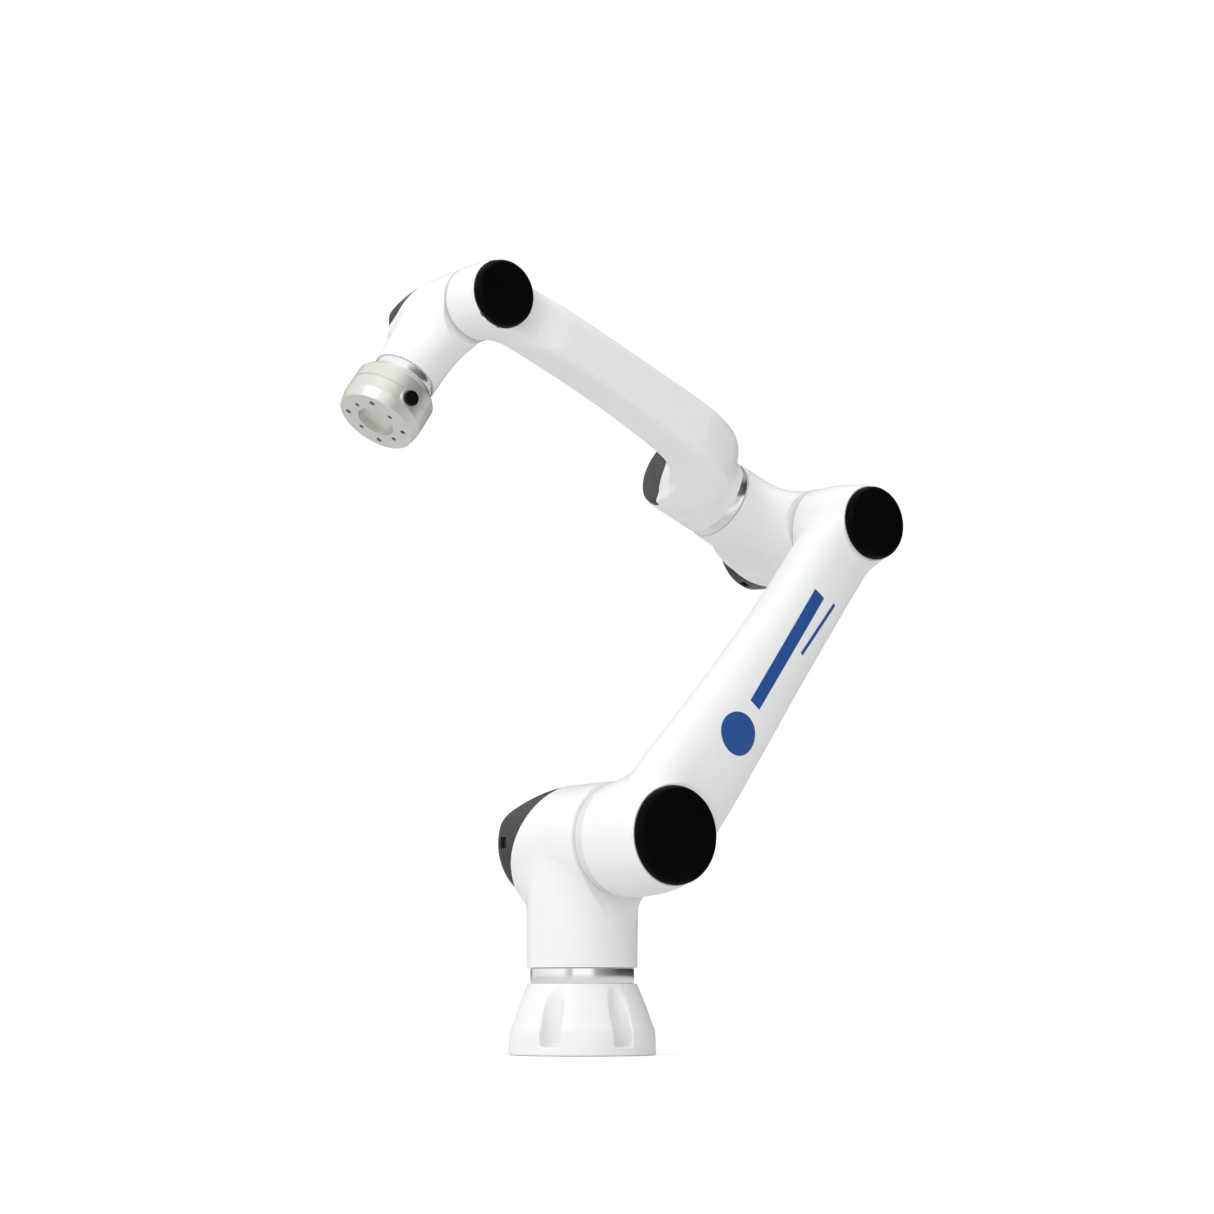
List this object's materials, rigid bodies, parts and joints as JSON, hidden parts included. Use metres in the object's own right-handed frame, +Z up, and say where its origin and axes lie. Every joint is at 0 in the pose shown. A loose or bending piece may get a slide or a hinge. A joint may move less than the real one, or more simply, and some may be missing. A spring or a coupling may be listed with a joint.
{
  "type": "six-axis robot arm",
  "caption": "Jointed collaborative robot arm on a round bolt-down base, with offset links, hollow turning joints and a round tool flange at the wrist.",
  "frame": {"origin": "centre of the base underside, which is also the centre of the foot bolt circle", "axes": "+Z up along the first turning axis, +X the way the arm reaches, +Y along the three parallel hinge axes towards the capped ends of the links"},
  "size_m": [0.6296, 0.24, 0.7986],
  "materials": {
    "black_cap": "gloss black moulded cover",
    "cable_jacket": "cable bundle",
    "circuit_board": "green circuit board",
    "connector_black": "matte black",
    "flange_metal": "bead-blasted aluminium, warm grey",
    "gear_steel": "machined steel",
    "grey_cap": "dark grey gloss moulded plug",
    "motor_winding": "laminated core with copper winding",
    "plate_steel": "plain plate",
    "polished_ring": "polished steel ring",
    "rotor_steel": "ground steel with magnets",
    "screw_steel": "plain screws",
    "seam_ring": "satin grey ring",
    "white_casting": "gloss white powder coat on cast aluminium"
  },
  "bodies": {
    "base": {"base_casting": "white_casting", "base_bottom_cover": "plate_steel", "base_power_socket": "connector_black", "j1_output_ring": "polished_ring", "j1_flexspline": "gear_steel"},
    "shoulder": {"shoulder_housing": "white_casting", "shoulder_cover": "black_cap", "shoulder_drive_boards": "circuit_board", "j1_bearing": "gear_steel", "j1_circular_spline": "gear_steel", "j1_stator": "motor_winding", "j2_stator": "motor_winding", "j2_circular_spline": "gear_steel", "j2_bearing": "gear_steel"},
    "upper_arm": {"upper_arm_shell": "white_casting", "j2_output_ring": "seam_ring", "j2_flexspline": "gear_steel", "upper_arm_lower_cap": "black_cap", "upper_arm_upper_cap": "black_cap", "j3_output_ring": "seam_ring", "j3_flexspline": "gear_steel", "upper_arm_harness": "cable_jacket"},
    "elbow": {"elbow_housing": "white_casting", "elbow_cover": "black_cap", "elbow_drive_boards": "circuit_board", "j3_stator": "motor_winding", "j3_circular_spline": "gear_steel", "j3_bearing": "gear_steel", "j4_stator": "motor_winding", "j4_circular_spline": "gear_steel", "j4_bearing": "gear_steel"},
    "forearm": {"forearm_shell": "white_casting", "j4_output_ring": "polished_ring", "j4_flexspline": "gear_steel", "forearm_elbow_cap": "grey_cap", "forearm_wrist_cap": "black_cap", "j5_output_ring": "seam_ring", "j5_flexspline": "gear_steel", "forearm_harness": "cable_jacket"},
    "wrist": {"wrist_housing": "white_casting", "wrist_cover": "black_cap", "wrist_drive_boards": "circuit_board", "j5_stator": "motor_winding", "j5_circular_spline": "gear_steel", "j5_bearing": "gear_steel", "j6_stator": "motor_winding", "j6_circular_spline": "gear_steel", "j6_bearing": "gear_steel"},
    "tool": {"j6_output_ring": "polished_ring", "j6_flexspline": "gear_steel", "tool_flange": "flange_metal", "tool_connector": "connector_black", "tool_flange_screws": "screw_steel"},
    "j1_rotor": {"j1_rotor": "rotor_steel"},
    "j2_rotor": {"j2_rotor": "rotor_steel"},
    "j3_rotor": {"j3_rotor": "rotor_steel"},
    "j4_rotor": {"j4_rotor": "rotor_steel"},
    "j5_rotor": {"j5_rotor": "rotor_steel"},
    "j6_rotor": {"j6_rotor": "rotor_steel"}
  },
  "joints": [
    {"name": "j1_base_turn", "type": "hinge", "parent": "base", "child": "shoulder", "pos_m": [0, 0, 0.15], "axis": [0, 0, 1], "range_deg": [-360, 360]},
    {"name": "j2_shoulder", "type": "hinge", "parent": "shoulder", "child": "upper_arm", "pos_m": [0, 0, 0.22], "axis": [0, 1, 0], "range_deg": [-96.1, 173.9]},
    {"name": "j3_elbow", "type": "hinge", "parent": "upper_arm", "child": "elbow", "pos_m": [-0.28252, 0, 0.57026], "axis": [0, 1, 0], "range_deg": [-248.6, 35]},
    {"name": "j4_forearm_roll", "type": "hinge", "parent": "elbow", "child": "forearm", "pos_m": [-0.28252, 0, 0.57026], "axis": [0.9251, 0, 0.3796], "range_deg": [-360, 360]},
    {"name": "j5_wrist", "type": "hinge", "parent": "forearm", "child": "wrist", "pos_m": [0.18005, 0, 0.76007], "axis": [0, 1, 0], "range_deg": [-258.6, 101.4]},
    {"name": "j6_tool_roll", "type": "hinge", "parent": "wrist", "child": "tool", "pos_m": [0.18005, 0, 0.76007], "axis": [0.5551, 0, -0.8318], "range_deg": [-360, 360]},
    {"name": "j1_rotor_turn", "type": "hinge", "parent": "shoulder", "child": "j1_rotor", "pos_m": [0, 0, 0.15], "axis": [0, 0, 1], "continuous": true},
    {"name": "j2_rotor_turn", "type": "hinge", "parent": "shoulder", "child": "j2_rotor", "pos_m": [0, 0, 0.22], "axis": [0, 1, 0], "continuous": true},
    {"name": "j3_rotor_turn", "type": "hinge", "parent": "elbow", "child": "j3_rotor", "pos_m": [-0.28252, 0, 0.57026], "axis": [0, 1, 0], "continuous": true},
    {"name": "j4_rotor_turn", "type": "hinge", "parent": "elbow", "child": "j4_rotor", "pos_m": [-0.28252, 0, 0.57026], "axis": [0.9251, 0, 0.3796], "continuous": true},
    {"name": "j5_rotor_turn", "type": "hinge", "parent": "wrist", "child": "j5_rotor", "pos_m": [0.18005, 0, 0.76007], "axis": [0, 1, 0], "continuous": true},
    {"name": "j6_rotor_turn", "type": "hinge", "parent": "wrist", "child": "j6_rotor", "pos_m": [0.18005, 0, 0.76007], "axis": [0.5551, 0, -0.8318], "continuous": true}
  ],
  "couplings": [
    {"joint": "j1_rotor_turn", "follows": "j1_base_turn", "ratio": 101},
    {"joint": "j2_rotor_turn", "follows": "j2_shoulder", "ratio": -101},
    {"joint": "j3_rotor_turn", "follows": "j3_elbow", "ratio": 101},
    {"joint": "j4_rotor_turn", "follows": "j4_forearm_roll", "ratio": -101},
    {"joint": "j5_rotor_turn", "follows": "j5_wrist", "ratio": 101},
    {"joint": "j6_rotor_turn", "follows": "j6_tool_roll", "ratio": -101}
  ]
}
